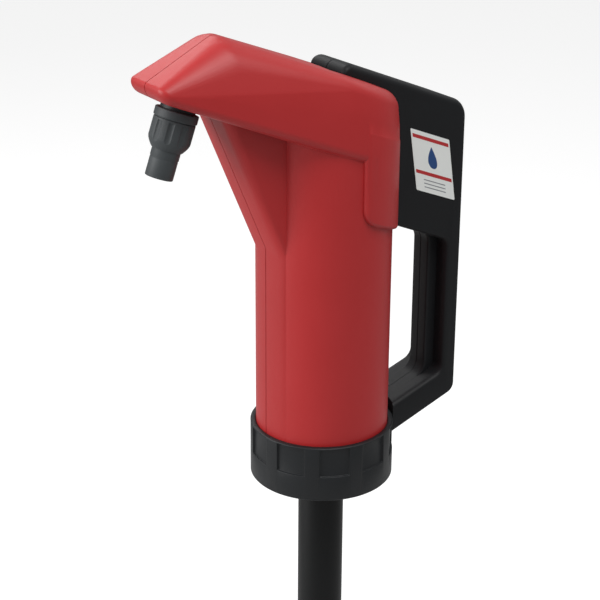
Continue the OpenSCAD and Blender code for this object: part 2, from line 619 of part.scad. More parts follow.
module strainer() color(charcoal) at_pump() difference() {
    translate([0, 0, inner_tube_end + 14 - strainer_h]) cylinder(r = tube_r - 0.4, h = strainer_h - 12);
    translate([0, 0, inner_tube_end]) cylinder(r = inner_tube_r + seat_gap, h = 60);
    translate([0, 0, inner_tube_end + 17 - strainer_h]) cylinder(r = inner_tube_r - inner_tube_wall, h = strainer_h);
    for (i = [0:strainer_slots - 1]) rotate([0, 0, i * 360 / strainer_slots])
        translate([0, -2, inner_tube_end + 18 - strainer_h]) cube([40, 4, strainer_h - 24]);
}

// Bung adapter ------------------------------------------------------------
module bung_adapter() color(charcoal) difference() {
    union() {
        translate([0, 0, -thread_len]) cylinder(r = thread_r, h = thread_len);
        translate([0, 0, -eps]) cylinder(r = thread_r - 2, h = washer_h + 2 * eps);
        translate([0, 0, washer_h]) cylinder(r = flange_r, h = flange_h);
        translate([0, 0, flange_top - eps]) cylinder(r = neck2_r, h = neck2_h);
    }
    translate([0, 0, -thread_len - eps]) cylinder(r = tube_r + slide_gap, h = thread_len + clamp_top);
    for (i = [0:7]) rotate([0, 0, i * 45 + 22.5]) translate([flange_r + 4, 0, washer_h - eps])
        cylinder(r = 7, h = flange_h + 2 * eps);
}
module adapter_washer() color(rubber) ring(thread_r - 2 + seat_gap, flange_r - 1, 0, washer_h);
module adapter_seal() color(rubber) ring(tube_r + slide_gap, neck2_r - 2, flange_top + neck2_h, flange_top + neck2_h + cone_h);
module adapter_nut() color(charcoal) difference() {
    translate([0, 0, flange_top + 1]) cylinder(r = neck2_r + 4, h = clamp_h);
    translate([0, 0, flange_top]) cylinder(r = neck2_r + seat_gap, h = neck2_h + cone_h);
    translate([0, 0, flange_top]) cylinder(r = tube_r + free_gap, h = 2 * clamp_h);
    for (i = [0:11]) rotate([0, 0, i * 30]) translate([neck2_r + 5.4, 0, flange_top + 4]) cylinder(r = 2.4, h = clamp_h - 6);
}

casing_left();
casing_right();
casing_screws();
collar_nut();
foot_plate();
foot_seal();
foot_valve_disc();
foot_valve_stop();
pump_barrel();
head_seal();
barrel_head();
rod_seal();
gland_nut();
outlet_duct();
duct_seal();
nozzle_washer();
nozzle_tail();
nozzle_nut();
piston_rod();
piston();
piston_seal();
piston_valve_disc();
piston_nut();
crosshead();
pivot_pin();
pivot_bush();
drive_pin();
lever_left();
lever_right();
lever_screws();
lever_label();
suction_tube();
telescope_nut();
telescope_seal();
telescope_tube();
telescope_guide();
strainer();
bung_adapter();
adapter_washer();
adapter_seal();
adapter_nut();
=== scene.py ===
import json
import math
import bpy
from mathutils import Matrix, Vector


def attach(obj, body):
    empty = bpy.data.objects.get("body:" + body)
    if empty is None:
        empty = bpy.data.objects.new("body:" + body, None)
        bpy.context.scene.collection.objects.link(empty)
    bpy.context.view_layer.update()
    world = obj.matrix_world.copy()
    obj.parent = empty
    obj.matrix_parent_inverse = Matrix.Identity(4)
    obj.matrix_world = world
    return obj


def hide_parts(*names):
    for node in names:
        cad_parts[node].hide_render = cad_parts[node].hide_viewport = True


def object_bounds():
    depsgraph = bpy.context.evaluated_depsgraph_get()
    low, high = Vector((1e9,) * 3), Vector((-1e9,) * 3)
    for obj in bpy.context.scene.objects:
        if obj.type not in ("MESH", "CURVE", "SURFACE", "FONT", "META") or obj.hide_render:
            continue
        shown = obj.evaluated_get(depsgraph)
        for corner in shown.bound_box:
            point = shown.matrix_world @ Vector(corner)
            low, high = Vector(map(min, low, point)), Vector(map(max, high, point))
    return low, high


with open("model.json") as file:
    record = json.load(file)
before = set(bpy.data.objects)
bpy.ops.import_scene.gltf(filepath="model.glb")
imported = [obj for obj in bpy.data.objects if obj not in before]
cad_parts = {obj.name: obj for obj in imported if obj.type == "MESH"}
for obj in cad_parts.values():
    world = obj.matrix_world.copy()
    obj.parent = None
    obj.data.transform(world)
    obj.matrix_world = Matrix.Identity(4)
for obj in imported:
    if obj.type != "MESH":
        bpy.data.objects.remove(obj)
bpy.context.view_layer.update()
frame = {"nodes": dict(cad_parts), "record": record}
print("stage: frame loaded")

mm = 0.001
rimHeight = 215  # the collar's rim above the bung seat, mm
fallAngle = math.radians(21.8)  # how steeply the hood falls to its rear
smoothAngle = math.radians(35)
up = Vector((0, 0, 1))


# Points are in mm, with heights above the collar's rim
def at(x, y, z):
    return Vector((x, y, z + rimHeight)) * mm


def clearSelection():
    if bpy.context.object and bpy.context.object.mode != "OBJECT":
        bpy.ops.object.mode_set(mode="OBJECT")
    bpy.ops.object.select_all(action="DESELECT")


def activate(piece):
    clearSelection()
    piece.select_set(True)
    bpy.context.view_layer.objects.active = piece


def named(name):
    piece = bpy.context.object
    piece.name = name
    piece.data.name = name
    bpy.ops.object.transform_apply(location=True, rotation=True, scale=True)
    return piece


def addBox(name, low, high):
    clearSelection()
    centre = (at(*low) + at(*high)) / 2
    size = at(*high) - at(*low)
    bpy.ops.mesh.primitive_cube_add(size=1, location=centre, scale=size)
    return named(name)


def addRod(name, radius, start, end, sides=64):
    clearSelection()
    along = at(*end) - at(*start)
    turn = up.rotation_difference(along).to_euler()
    middle = (at(*start) + at(*end)) / 2
    bpy.ops.mesh.primitive_cylinder_add(vertices=sides, radius=radius * mm, depth=along.length,
                                        location=middle, rotation=turn)
    return named(name)


# A closed outline in radius and height, in mm, turned round the Z axis and then put in its place
def addTurned(name, outline, sides, place):
    clearSelection()
    bpy.ops.mesh.primitive_circle_add(vertices=len(outline), radius=0.01)
    piece = named(name)
    for vertex, (radius, height) in zip(piece.data.vertices, outline):
        vertex.co = Vector((radius, 0, height)) * mm
    bpy.ops.object.mode_set(mode="EDIT")
    bpy.ops.mesh.select_all(action="SELECT")
    bpy.ops.mesh.spin(steps=sides, angle=math.tau, center=(0, 0, 0), axis=(0, 0, 1))
    bpy.ops.mesh.select_all(action="SELECT")
    bpy.ops.mesh.remove_doubles(threshold=0.002 * mm)
    bpy.ops.mesh.normals_make_consistent(inside=False)
    leaveEdit()
    piece.data.transform(place)
    return piece


# A flat shape in X and Z given a thickness from one Y to another
def addSheet(name, outline, low, high):
    clearSelection()
    bpy.ops.mesh.primitive_circle_add(vertices=len(outline), radius=0.01, fill_type="NGON")
    piece = named(name)
    for vertex, (x, z) in zip(piece.data.vertices, outline):
        vertex.co = at(x, low, z)
    bpy.ops.object.mode_set(mode="EDIT")
    bpy.ops.mesh.select_all(action="SELECT")
    bpy.ops.mesh.extrude_region_move(TRANSFORM_OT_translate={"value": (0, (high - low) * mm, 0)})
    bpy.ops.mesh.select_all(action="SELECT")
    bpy.ops.mesh.normals_make_consistent(inside=False)
    leaveEdit()
    return piece


def leaveEdit():
    bpy.ops.object.mode_set(mode="OBJECT")


# Cuts away what lies on the normal's side of a plane and closes the cut
def slicePiece(piece, point, normal):
    activate(piece)
    bpy.ops.object.mode_set(mode="EDIT")
    bpy.ops.mesh.select_mode(type="FACE")
    bpy.ops.mesh.select_all(action="SELECT")
    bpy.ops.mesh.bisect(plane_co=point, plane_no=normal, use_fill=True, clear_outer=True)
    leaveEdit()


def bevelEdges(piece, test, width, segments):
    activate(piece)
    bpy.ops.object.mode_set(mode="EDIT")
    bpy.ops.mesh.select_mode(type="EDGE")
    bpy.ops.mesh.select_all(action="DESELECT")
    bpy.ops.object.mode_set(mode="OBJECT")
    points = [vertex.co for vertex in piece.data.vertices]
    found = 0
    for edge in piece.data.edges:
        edge.select = bool(test(points[edge.vertices[0]], points[edge.vertices[1]]))
        found += edge.select
    bpy.ops.object.mode_set(mode="EDIT")
    if found:
        bpy.ops.mesh.bevel(offset=width * mm, segments=segments, affect="EDGES", clamp_overlap=True)
    leaveEdit()


def useModifier(piece, kind, **settings):
    activate(piece)
    modifier = piece.modifiers.new(kind, kind)
    for key, value in settings.items():
        setattr(modifier, key, value)
    bpy.ops.object.modifier_apply(modifier=modifier.name)


def combine(piece, other, how="DIFFERENCE", keep=False):
    useModifier(piece, "BOOLEAN", object=other, operation=how, solver="EXACT")
    if not keep:
        bpy.data.objects.remove(other)


def copyPiece(piece, name):
    activate(piece)
    bpy.ops.object.duplicate()
    return named(name)


# A copy of a solid from the frame, with its flat facets merged
def nodeCopy(node, name):
    clearSelection()
    source = frame["nodes"][node]
    piece = source.copy()
    piece.data = source.data.copy()
    bpy.context.collection.objects.link(piece)
    piece.parent = None
    piece.matrix_world = source.matrix_world
    activate(piece)
    named(name)
    bpy.ops.object.mode_set(mode="EDIT")
    bpy.ops.mesh.select_all(action="SELECT")
    bpy.ops.mesh.remove_doubles(threshold=0.005 * mm)
    bpy.ops.mesh.dissolve_limited(angle_limit=math.radians(0.2))
    leaveEdit()
    return piece


def joinPieces(pieces, name):
    clearSelection()
    for piece in pieces:
        piece.select_set(True)
    bpy.context.view_layer.objects.active = pieces[0]
    if len(pieces) > 1:
        bpy.ops.object.join()
    return named(name)


def softenEdges(piece, width, angle):
    useModifier(piece, "BEVEL", width=width * mm, segments=2, limit_method="ANGLE",
                angle_limit=math.radians(angle), harden_normals=False)


# Shading, material, and what the piece rides on and stands for
def finishPiece(piece, body, material, nodes=()):
    activate(piece)
    bpy.ops.object.shade_smooth_by_angle(angle=smoothAngle)
    piece.data.materials.clear()
    piece.data.materials.append(material)
    if nodes:
        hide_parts(*nodes)
    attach(piece, body)


# Materials
# From a colour as it is seen, 0 to 255, to the shader's linear colour
def plain(r, g, b):
    return tuple(((c / 255 + 0.055) / 1.055) ** 2.4 if c > 10 else c / 255 / 12.92 for c in (r, g, b)) + (1,)


# Soft clouds of a second colour, and a fine grain in the surface and its roughness
plastic = {"cloudScale": 22, "cloudDetail": 4, "cloudLow": 0.3, "cloudHigh": 0.7, "grainDetail": 3,
           "grainStep": 0.0002, "smoother": 0.06, "rougher": 0.08}


def mouldedPlastic(name, colour, paler, roughness, grainSize, grainDepth, gloss=0.5, clouds=0.5):
    material = bpy.data.materials.new(name)
    material.use_nodes = True
    nodes = material.node_tree.nodes
    links = material.node_tree.links
    shader = nodes["Principled BSDF"]
    shader.inputs["Roughness"].default_value = roughness
    shader.inputs["Specular IOR Level"].default_value = gloss
    place = nodes.new("ShaderNodeTexCoord")
    broad = nodes.new("ShaderNodeTexNoise")
    broad.inputs["Scale"].default_value = plastic["cloudScale"]
    broad.inputs["Detail"].default_value = plastic["cloudDetail"]
    links.new(place.outputs["Object"], broad.inputs["Vector"])
    tint = nodes.new("ShaderNodeMix")
    tint.data_type = "RGBA"
    tint.inputs["A"].default_value = plain(*colour)
    tint.inputs["B"].default_value = plain(*paler)
    shade = nodes.new("ShaderNodeMapRange")
    shade.inputs["From Min"].default_value = plastic["cloudLow"]
    shade.inputs["From Max"].default_value = plastic["cloudHigh"]
    shade.inputs["To Max"].default_value = clouds
    links.new(broad.outputs["Fac"], shade.inputs["Value"])
    links.new(shade.outputs["Result"], tint.inputs["Factor"])
    links.new(tint.outputs["Result"], shader.inputs["Base Color"])
    grain = nodes.new("ShaderNodeTexNoise")
    grain.inputs["Scale"].default_value = grainSize
    grain.inputs["Detail"].default_value = plastic["grainDetail"]
    links.new(place.outputs["Object"], grain.inputs["Vector"])
    bump = nodes.new("ShaderNodeBump")
    bump.inputs["Strength"].default_value = grainDepth
    bump.inputs["Distance"].default_value = plastic["grainStep"]
    links.new(grain.outputs["Fac"], bump.inputs["Height"])
    links.new(bump.outputs["Normal"], shader.inputs["Normal"])
    rough = nodes.new("ShaderNodeMapRange")
    rough.inputs["To Min"].default_value = roughness - plastic["smoother"]
    rough.inputs["To Max"].default_value = roughness + plastic["rougher"]
    links.new(grain.outputs["Fac"], rough.inputs["Value"])
    links.new(rough.outputs["Result"], shader.inputs["Roughness"])
    return material


# Fine rings round the Z axis, as a lathe leaves them
metal = {"lineScale": (60, 60, 2200), "lineDetail": 2, "lineDepth": 0.15, "lineStep": 0.00005,
         "smoother": 0.08, "rougher": 0.12}


def turnedMetal(name, colour, roughness):
    material = bpy.data.materials.new(name)
    material.use_nodes = True
    nodes = material.node_tree.nodes
    links = material.node_tree.links
    shader = nodes["Principled BSDF"]
    shader.inputs["Metallic"].default_value = 1
    shader.inputs["Base Color"].default_value = plain(*colour)
    place = nodes.new("ShaderNodeTexCoord")
    stretch = nodes.new("ShaderNodeMapping")
    stretch.inputs["Scale"].default_value = metal["lineScale"]
    links.new(place.outputs["Object"], stretch.inputs["Vector"])
    lines = nodes.new("ShaderNodeTexNoise")
    lines.inputs["Scale"].default_value = 1
    lines.inputs["Detail"].default_value = metal["lineDetail"]
    links.new(stretch.outputs["Vector"], lines.inputs["Vector"])
    rough = nodes.new("ShaderNodeMapRange")
    rough.inputs["To Min"].default_value = roughness - metal["smoother"]
    rough.inputs["To Max"].default_value = roughness + metal["rougher"]
    links.new(lines.outputs["Fac"], rough.inputs["Value"])
    links.new(rough.outputs["Result"], shader.inputs["Roughness"])
    bump = nodes.new("ShaderNodeBump")
    bump.inputs["Strength"].default_value = metal["lineDepth"]
    bump.inputs["Distance"].default_value = metal["lineStep"]
    links.new(lines.outputs["Fac"], bump.inputs["Height"])
    links.new(bump.outputs["Normal"], shader.inputs["Normal"])
    return material


# name, colour, second colour, roughness, grain scale, grain depth, gloss
casingRed = mouldedPlastic("casingRed", (169, 34, 35), (175, 40, 42), 0.42, 1500, 0.35, 0.42)
leverBlack = mouldedPlastic("leverBlack", (20, 21, 23), (24, 25, 27), 0.5, 1300, 0.4, 0.22)
collarBlack = mouldedPlastic("collarBlack", (25, 27, 29), (31, 33, 35), 0.44, 1300, 0.4, 0.3)
tubeBlack = mouldedPlastic("tubeBlack", (6, 7, 8), (9, 10, 11), 0.36, 900, 0.2, 0.3)
spoutBlack = mouldedPlastic("spoutBlack", (56, 60, 62), (66, 70, 72), 0.5, 1500, 0.45, 0.35)
naturalPlastic = mouldedPlastic("naturalPlastic", (214, 213, 205), (222, 221, 214), 0.42, 700, 0.15)
softRubber = mouldedPlastic("softRubber", (26, 26, 27), (32, 32, 33), 0.7, 900, 0.3, 0.3)
turnedSteel = turnedMetal("turnedSteel", (190, 192, 196), 0.32)
labelFilm = mouldedPlastic("labelFilm", (222, 225, 222), (226, 228, 226), 0.35, 500, 0.05)
nodeFinish = {"casing": casingRed, "black_plastic": collarBlack, "natural_plastic": naturalPlastic,
              "steel": turnedSteel, "rubber": softRubber, "label": labelFilm}
for part in frame["record"]["subparts"]:
    material = nodeFinish[part["material_slot"]]
    cadNode = frame["nodes"][part["node"]]
    if not cadNode.material_slots:
        cadNode.data.materials.append(material)
    for slot in cadNode.material_slots:
        slot.material = material
print("stage: materials made")

# Casing
# Sizes in mm; hoodHoops are roundings of the hood's outline: round, drop below the top, inset
casing = {"bodyRadius": 47.5, "hoodRadius": 51, "wall": 3, "foot": -28, "columnTop": 300, "columnSides": 160,
          "hoodTop": 256.3, "hoodUnder": 202.3, "ridgeX": -86.6, "noseAngle": 42.6, "sideAngle": 12,
          "hoodCrown": 3.2, "lowRound": 8, "hoopSides": 128,
          "hoodHoops": [(10, 9.6, 1.8), (9, 22, 0.6), (7, 6, 16), (7, 5.6, 30)], "tipRound": 5.8,
          "tipBend": 3, "broadBall": 26, "narrowBall": 14, "ridgeBallY": 4, "lowBall": 13, "lowBallX": -100,
          "strapLow": 161.33, "strapX": -1, "strapRise": 22, "strapBall": 3.2, "strapBend": 9,
          "strapSteps": 21,
          "gussetHalf": 19.5, "gussetAngle": 66.7, "gussetFoot": 139, "gussetEdge": 6,
          "slotHalf": 21.5, "slotFront": -11.2, "slotRear": 25, "slotLow": 138.6, "pivot": (37, 200),
          "screws": [(-78, 277.6), (-40, 251.6)], "nozzleSeat": (-111.6, 248.9), "nozzleLean": 19.5,
          "screwBoss": 5.5, "screwHead": 3.8, "screwHole": 2, "pivotBoss": 9.5, "pivotHole": 5.05,
          "neckHole": 11.9, "bossInset": 0.55, "seamHalf": 0.32}
slope = math.tan(fallAngle)
fallNormal = Vector((math.sin(fallAngle), 0, math.cos(fallAngle)))
fallShear = Matrix(((1, 0, 0, 0), (0, 1, 0, 0), (-slope, 0, 1, 0), (0, 0, 0, 1)))
tightRound = 0.8  # the smallest roundings shrink less than the inset


def addBall(name, radius, x, y, z):
    clearSelection()
    bpy.ops.mesh.primitive_uv_sphere_add(segments=64, ring_count=32, radius=radius * mm, location=at(x, y, z))
    return named(name)


# A ring of round section; outer is its outermost radius
def addHoop(name, outer, radius, place, sides):
    clearSelection()
    bpy.ops.mesh.primitive_torus_add(major_segments=sides, minor_segments=40, location=at(*place),
                                     major_radius=(outer - radius) * mm, minor_radius=radius * mm)
    return named(name)


# Swaps a piece for the tightest skin without hollows around it
def wrapPiece(piece):
    activate(piece)
    bpy.ops.object.mode_set(mode="EDIT")
    bpy.ops.mesh.select_all(action="SELECT")
    bpy.ops.mesh.convex_hull(use_existing_faces=False, join_triangles=True)
    leaveEdit()


def leanPiece(piece):
    piece.data.transform(Matrix.Translation(at(0, 0, 0)) @ fallShear @ Matrix.Translation(-at(0, 0, 0)))


# The hood is drawn level and then leaned, so that its top and underside fall together.
# Each form is drawn again with an inset for the room inside it.
def hoodForm(inset):
    c = casing
    deep = inset / math.cos(fallAngle)
    top = c["hoodTop"] - deep
    under = c["hoodUnder"] + deep
    outer = c["hoodRadius"] - inset
    nose = math.radians(c["noseAngle"])
    side = math.radians(c["sideAngle"])
    ridgeX = c["ridgeX"] + inset * math.tan(nose / 2)

    def besideWall(x, radius):
        return (outer - radius + math.sin(side) * x) / math.cos(side)
    sides = c["hoopSides"]
    lowRound = c["lowRound"] - inset
    pieces = [addHoop("hoodLowHoop", outer, lowRound, (0, 0, under + lowRound), sides)]
    for bend, drop, crown in c["hoodHoops"]:
        pieces.append(addHoop("hoodHoop", outer - crown, bend - inset, (0, 0, top - drop + inset), sides))
    tipRound = c["tipRound"] - inset * tightRound
    tipBend = c["tipBend"]
    noseDepth = math.cos(nose) * (top - under - tipRound) - math.sin(nose) * ridgeX
    tipX = (tipBend * math.sin(nose) + tipRound - noseDepth) / math.sin(nose)
    tipY = besideWall(tipX, tipBend + tipRound)
    broad = c["broadBall"] - inset
    broadX = ridgeX + broad * math.tan(nose / 2)
    broadY = besideWall(broadX, broad) - c["hoodCrown"]
    narrow = c["narrowBall"] - inset
    narrowX = ridgeX + narrow * math.tan(nose / 2)
    low, lowX = c["lowBall"] - inset, c["lowBallX"]
    for way in (-1, 1):
        pieces += [addHoop("hoodTip", tipBend + tipRound, tipRound, (tipX, way * tipY, under + tipRound), 48),
                   addBall("hoodBall", broad, broadX, way * broadY, top - broad),
                   addBall("hoodBall", narrow, broadX, way * besideWall(broadX, narrow), under + narrow + 2),
                   addBall("hoodBall", narrow, narrowX, way * c["ridgeBallY"], top - narrow),
                   addBall("hoodBall", low, lowX, way * besideWall(lowX, low), under + low)]
    hood = joinPieces(pieces, "hoodForm")
    wrapPiece(hood)
    leanPiece(hood)
    return hood


# The strap runs down from the hood's rear over the body
def strapForm(inset):
    c = casing
    ball = c["strapBall"] - inset * tightRound
    reach = c["hoodRadius"] + 0.02 - inset - ball
    low = c["strapLow"] + inset / math.cos(fallAngle)
    high = c["hoodUnder"] + c["strapRise"]
    front = c["strapX"] + inset
    bend = c["strapBend"] - inset
    turns = [math.radians(i * 90 / 8) for i in range(9)]
    spots = [(front + bend - (bend - ball) * math.cos(turn), low + bend - (bend - ball) * math.sin(turn))
             for turn in turns]
    spots.append((front + ball, high))
    firstTurn = math.asin((front + bend) / reach)
    for i in range(c["strapSteps"]):
        turn = firstTurn + (math.pi / 2 - firstTurn) * (i + 1) / c["strapSteps"]
        spots.append((reach * math.sin(turn), low + ball))
        spots.append((reach * math.sin(turn), high))
    pieces = []
    for x, z in spots:
        across = math.sqrt(max(reach ** 2 - x ** 2, 0))
        for way in (-1, 1):
            clearSelection()
            bpy.ops.mesh.primitive_uv_sphere_add(segments=32, ring_count=16, radius=ball * mm,
                                                 location=at(x, way * across, z))
            pieces.append(named("strapBall"))
    strap = joinPieces(pieces, "strapForm")
    wrapPiece(strap)
    leanPiece(strap)
    return strap


# The gusset under the hood, with its front edges rounded on the outside
def gussetForm(inset):
    c = casing
    half = c["gussetHalf"] - inset
    block = addBox("gussetForm", (-150, -half, 60), (-5, half, c["hoodUnder"] + 60))
    angle = math.radians(c["gussetAngle"])
    face = Vector((-math.sin(angle), 0, -math.cos(angle)))
    foot = at(-c["bodyRadius"], 0, c["gussetFoot"])
    slicePiece(block, foot - face * inset * mm, face)
    if not inset:
        def alongFront(a, b):
            return all(abs((p - foot).dot(face)) < 1e-5 for p in (a, b)) and abs(a.x - b.x) > 0.02
        bevelEdges(block, alongFront, c["gussetEdge"], 6)
    slicePiece(block, at(0, 0, c["hoodUnder"] + 8), fallNormal)
    return block


def bodyColumn(radius, foot, above):
    c = casing
    column = addRod("column", radius, (0, 0, foot), (0, 0, c["columnTop"]), c["columnSides"])
    slicePiece(column, at(0, 0, c["hoodUnder"] + above), fallNormal)
    return column


def casingForm(inset, footDrop, above):
    c = casing
    form = hoodForm(inset)
    combine(form, strapForm(inset), "UNION")
    combine(form, gussetForm(inset), "UNION")
    combine(form, bodyColumn(c["bodyRadius"] - inset, c["foot"] - footDrop, above), "UNION")
    return form


# The whole casing as a hollow shell with its bosses, the lever's slot, the holes and the seam's groove
def casingShell():
    c = casing
    shell = casingForm(0, 0, 14)
    combine(shell, casingForm(c["wall"], 5, 18))
    outline = casingForm(c["bossInset"], 10, 14)
    bosses = [addRod("screwBoss", c["screwBoss"], (x, 1, z), (x, 60, z), 32) for x, z in c["screws"]]
    x, z = c["pivot"]
    bosses += [addRod("pivotBoss", c["pivotBoss"], (x, way * (c["slotHalf"] + 0.1), z), (x, way * 60, z), 48)
               for way in (-1, 1)]
    for boss in bosses:
        combine(boss, outline, "INTERSECT", keep=True)
        combine(shell, boss, "UNION")
    combine(shell, addBox("slotAbove", (c["slotFront"], -c["slotHalf"], z), (80, c["slotHalf"], 360)))
    combine(shell, addBox("slotBehind", (c["slotRear"], -c["slotHalf"], c["slotLow"]),
                          (80, c["slotHalf"], 300)))
    combine(shell, addRod("pivotHole", c["pivotHole"], (x, -26.5, z), (x, 26.5, z), 48))
    (seatX, seatZ), lean = c["nozzleSeat"], math.radians(c["nozzleLean"])
    combine(shell, addRod("neckHole", c["neckHole"],
                          (seatX - 20 * math.sin(lean), 0, seatZ - 20 * math.cos(lean)),
                          (seatX + 12 * math.sin(lean), 0, seatZ + 12 * math.cos(lean))))
    for x, z in c["screws"]:
        combine(shell, addRod("screwHead", c["screwHead"], (x, 24, z), (x, 60, z), 32))
        combine(shell, addRod("screwHole", c["screwHole"], (x, -2, z), (x, 26, z), 24))
    groove = addBox("seamGroove", (-160, -c["seamHalf"], -60), (70, c["seamHalf"], 330))
    combine(groove, outline)
    combine(shell, groove)
    return shell


nearHalf = casingShell()
named("casingNear")
print("stage: casing shell", len(nearHalf.data.polygons))
farHalf = copyPiece(nearHalf, "casingFar")
slicePiece(nearHalf, at(0, -0.01, 0), (0, 1, 0))
slicePiece(farHalf, at(0, 0.01, 0), (0, -1, 0))
finishPiece(nearHalf, "pump", casingRed, ["casing_left"])
finishPiece(farHalf, "pump", casingRed, ["casing_right"])
print("stage: casing halves", len(nearHalf.data.polygons), len(farHalf.data.polygons))

# Lever
# Sizes in mm; the rib stands in front of the side wall at the grip, each side of the seam
lever = {"half": 20.5, "top": 266, "backX": 106.2, "armX": 44, "wallFront": 93, "gripFront": 85,
         "ribHalf": 9, "ribEdge": 1.8, "seamEdge": 0.6, "topEdge": 4.5, "backEdge": 3, "sideEdge": 2.6,
         "windowEdge": 3, "hiddenEdge": 0.3, "wallRadii": [0.3, 9, 15, 7, 0.3, 3, 3, 6, 8, 3, 8, 8, 0.6],
         "ribRadii": (10, 12), "arm": (48.3, 142.9, -0.43), "rest": (50.7, 6.3, 0.36),
         "tip": (50.4, -16.9, 0.369),
         "pivot": (37, 200), "bushHole": 7.05, "pin": (5.89, 231.11), "pinHole": 4.05, "pinReach": 17.5,
         "cheek": 9.5, "tipClear": 53.1, "screwHead": 3.8, "screwDeep": 4,
         "screws": [(70, 222), (62, 160), (97.7, 108), (97.7, 28), (64, -1.5)]}


# A closed outline with rounded corners; each side may be moved outwards by its own amount
def roundedLoop(corners, radii, moves, steps=8):
    count = len(corners)
    sides = []
    for i in range(count):
        a = Vector(corners[i])
        b = Vector(corners[(i + 1) % count])
        along = (b - a).normalized()
        outward = Vector((along.y, -along.x))
        sides.append((a + outward * moves[i], along))
    points = []
    for i in range(count):
        (p, u), (q, v) = sides[i - 1], sides[i]
        cross = u.x * v.y - u.y * v.x
        gap = q - p
        corner = p + u * ((gap.x * v.y - gap.y * v.x) / cross)
        if cross > 0:
            radius = max(radii[i] + min(moves[i - 1], moves[i]), 0.05)
        else:
            radius = max(radii[i] - max(moves[i - 1], moves[i]), 0.05)
        half = math.acos(max(min(-u.dot(v), 1), -1)) / 2
        reach = radius / math.tan(half)
        middle = corner + (v - u).normalized() * (radius / math.sin(half))
        start = corner - u * reach - middle
        turn = math.atan2(u.x * v.y - u.y * v.x, u.dot(v))
        for k in range(steps + 1):
            t = turn * k / steps
            points.append(middle + Vector((start.x * math.cos(t) - start.y * math.sin(t),
                                           start.x * math.sin(t) + start.y * math.cos(t))))
    return points


# A skin through outlines at several depths, closed at both ends
def addLoft(name, levels):
    clearSelection()
    (y, outline) = levels[0]
    bpy.ops.mesh.primitive_circle_add(vertices=len(outline), radius=0.01, fill_type="NGON")
    piece = named(name)
    for vertex, point in zip(piece.data.vertices, outline):
        vertex.co = at(point[0], y, point[1])
    for nextY, nextOutline in levels[1:]:
        old = [at(point[0], y, point[1]) for point in outline]
        bpy.ops.object.mode_set(mode="EDIT")
        bpy.ops.mesh.select_mode(type="FACE")
        bpy.ops.object.mode_set(mode="OBJECT")
        for face in piece.data.polygons:
            face.select = len(face.vertices) == len(outline) and abs(face.center.y - y * mm) < 1e-7
        bpy.ops.object.mode_set(mode="EDIT")
        bpy.ops.mesh.extrude_region_move(TRANSFORM_OT_translate={"value": (0, 0, 0)})
        bpy.ops.object.mode_set(mode="OBJECT")
        spots = {tuple(round(c * 1e7) for c in p): at(q[0], nextY, q[1]) for p, q in zip(old, nextOutline)}
        for vertex in piece.data.vertices:
            if vertex.select:
                vertex.co = spots[tuple(round(c * 1e7) for c in vertex.co)]
        y, outline = nextY, nextOutline
    bpy.ops.object.mode_set(mode="EDIT")
    bpy.ops.mesh.select_all(action="SELECT")
    bpy.ops.mesh.normals_make_consistent(inside=False)
    leaveEdit()
    return piece


# Height at x of a sloping line, given as x, height there, slope
def lineAt(line, x):
    return line[1] + line[2] * (x - line[0])


def leverCorners(front):
    v = lever
    armX, back, top = v["armX"], v["backX"], v["top"]
    pinX, pinZ = v["pin"]
    tip, arm, rest = v["tip"], v["arm"], v["rest"]
    return [(armX, lineAt(tip, armX)), (back, lineAt(tip, back)), (back, top - slope * back), (0, top),
            (0, pinZ + 11), (pinX - 9.5, pinZ + 4.5), (pinX - 9.5, pinZ - 9), (14, 196), (26, 165),
            (armX, lineAt(arm, armX)), (front, lineAt(arm, front)), (front, lineAt(rest, front)),
            (armX, lineAt(rest, armX))]


# How far a rounded edge of size 1 lies inwards and downwards at each of its steps
edgeSteps = [(1 - math.sin(t), 1 - math.cos(t)) for t in (math.radians(15 * k) for k in range(7))]


# Half of the lever: its side wall, and its half of the middle rib
def leverHalf(name, way):
    v = lever
    half, rib, seam = v["half"], v["ribHalf"], v["seamEdge"]
    rounds = ([v["sideEdge"], v["backEdge"], v["topEdge"], v["sideEdge"]] + [v["hiddenEdge"]] * 5
              + [v["windowEdge"]] * 3 + [v["hiddenEdge"]])
    radii = list(v["wallRadii"])
    corners = leverCorners(v["wallFront"])
    levels = [(half - max(rounds) * down, roundedLoop(corners, radii, [-size * inwards for size in rounds]))
              for inwards, down in edgeSteps]
    levels.append((rib, roundedLoop(corners, radii, [-0.01] * 13)))
    levels.append((rib - 2, roundedLoop(corners, radii, [-0.06] * 13)))
    wall = addLoft(name, [(way * y, loop) for y, loop in levels])
    corners = leverCorners(v["gripFront"])
    radii[10:12] = v["ribRadii"]
    levels = []
    for inwards, down in edgeSteps:
        moves = [0] * 13
        moves[10] = -v["ribEdge"] * inwards
        levels.append((rib - v["ribEdge"] * down, roundedLoop(corners, radii, moves)))
    levels.append((seam, roundedLoop(corners, radii, [0] * 13)))
    levels.append((0, roundedLoop(corners, radii, [-seam] * 13)))
    combine(wall, addLoft("leverRib", [(way * y, loop) for y, loop in levels]), "UNION")
    x, z = v["pivot"]
    combine(wall, addRod("bushHole", v["bushHole"], (x, -30, z), (x, 30, z), 64))
    x, z = v["pin"]
    combine(wall, addRod("pinHole", v["pinHole"], (x, -v["pinReach"], z), (x, v["pinReach"], z), 48))
    combine(wall, addBox("cheekRoom", (-30, -v["cheek"], 150), (24, v["cheek"], v["top"] - 12)))
    combine(wall, addRod("tipRoom", v["tipClear"], (0, 0, -60), (0, 0, 60), 160))
    if way > 0:
        for x, z in v["screws"]:
            floorY = half - v["screwDeep"]
            combine(wall, addRod("screwRoom", v["screwHead"], (x, floorY, z), (x, half + 5, z), 40))
    return wall


